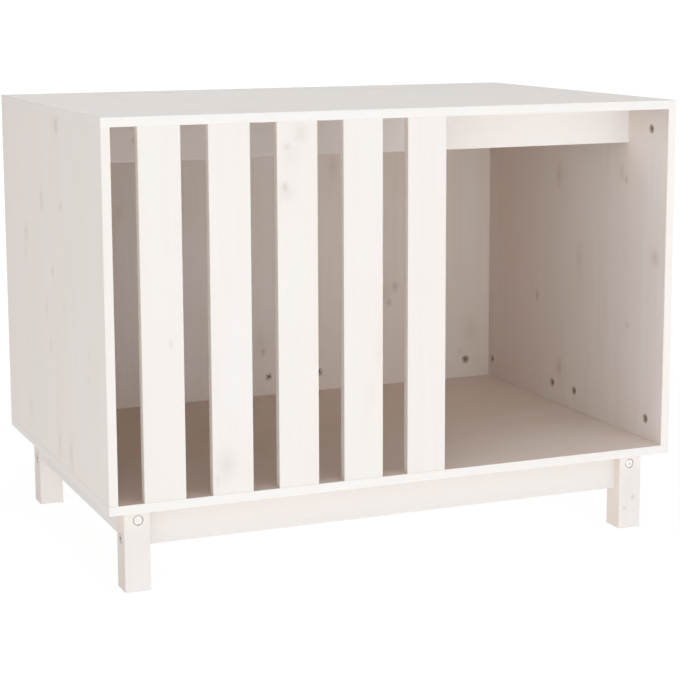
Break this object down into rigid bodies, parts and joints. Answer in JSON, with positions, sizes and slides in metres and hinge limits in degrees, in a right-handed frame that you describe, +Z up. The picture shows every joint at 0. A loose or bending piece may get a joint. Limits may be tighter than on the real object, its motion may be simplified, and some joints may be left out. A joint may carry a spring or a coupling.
{
  "type": "dog house",
  "caption": "Slatted indoor dog house in whitewashed solid pine: a raised box with upright front slats, an open entry at the right and square legs.",
  "frame": {"origin": "on the ground under the middle of the house", "axes": "+X to the right along the width, -Y out of the slatted front, +Z up"},
  "size_m": [0.9, 0.6, 0.6725],
  "materials": {
    "whitewashed_pine": "thin white wash over solid pine, satin",
    "beech_dowel": "raw beech",
    "zinc_fitting": "dull cast zinc",
    "bright_steel": "bright zinc-plated steel"
  },
  "bodies": {
    "root": {"top_panel": "whitewashed_pine", "floor_panel": "whitewashed_pine", "left_side_front_board": "whitewashed_pine", "left_side_rear_board": "whitewashed_pine", "right_side_front_board": "whitewashed_pine", "right_side_rear_board": "whitewashed_pine", "back_left_board": "whitewashed_pine", "back_right_board": "whitewashed_pine", "slat_1": "whitewashed_pine", "slat_2": "whitewashed_pine", "slat_3": "whitewashed_pine", "slat_4": "whitewashed_pine", "slat_5": "whitewashed_pine", "header_rail": "whitewashed_pine", "leg_front_left": "whitewashed_pine", "leg_front_right": "whitewashed_pine", "leg_rear_left": "whitewashed_pine", "leg_rear_right": "whitewashed_pine", "front_skirt": "whitewashed_pine", "rear_skirt": "whitewashed_pine", "left_skirt": "whitewashed_pine", "right_skirt": "whitewashed_pine", "left_side_cams": "zinc_fitting", "right_side_cams": "zinc_fitting", "back_cams": "zinc_fitting", "rail_cams": "zinc_fitting", "front_skirt_cams": "zinc_fitting", "rear_skirt_cams": "zinc_fitting", "left_skirt_cams": "zinc_fitting", "right_skirt_cams": "zinc_fitting", "left_side_cam_bolts": "bright_steel", "right_side_cam_bolts": "bright_steel", "back_cam_bolts": "bright_steel", "rail_cam_bolts": "bright_steel", "front_skirt_cam_bolts": "bright_steel", "rear_skirt_cam_bolts": "bright_steel", "left_skirt_cam_bolts": "bright_steel", "right_skirt_cam_bolts": "bright_steel", "left_side_dowels": "beech_dowel", "right_side_dowels": "beech_dowel", "back_dowels": "beech_dowel", "rail_dowels": "beech_dowel", "slat_dowels": "beech_dowel", "leg_dowels": "beech_dowel", "left_joint_dowels": "beech_dowel", "right_joint_dowels": "beech_dowel", "back_joint_dowels": "beech_dowel", "slat_screws": "bright_steel", "front_leg_bolts": "bright_steel", "rear_leg_bolts": "bright_steel", "left_leg_bolts": "bright_steel", "right_leg_bolts": "bright_steel", "front_barrel_nuts": "zinc_fitting", "rear_barrel_nuts": "zinc_fitting", "left_barrel_nuts": "zinc_fitting", "right_barrel_nuts": "zinc_fitting"}
  },
  "joints": []
}
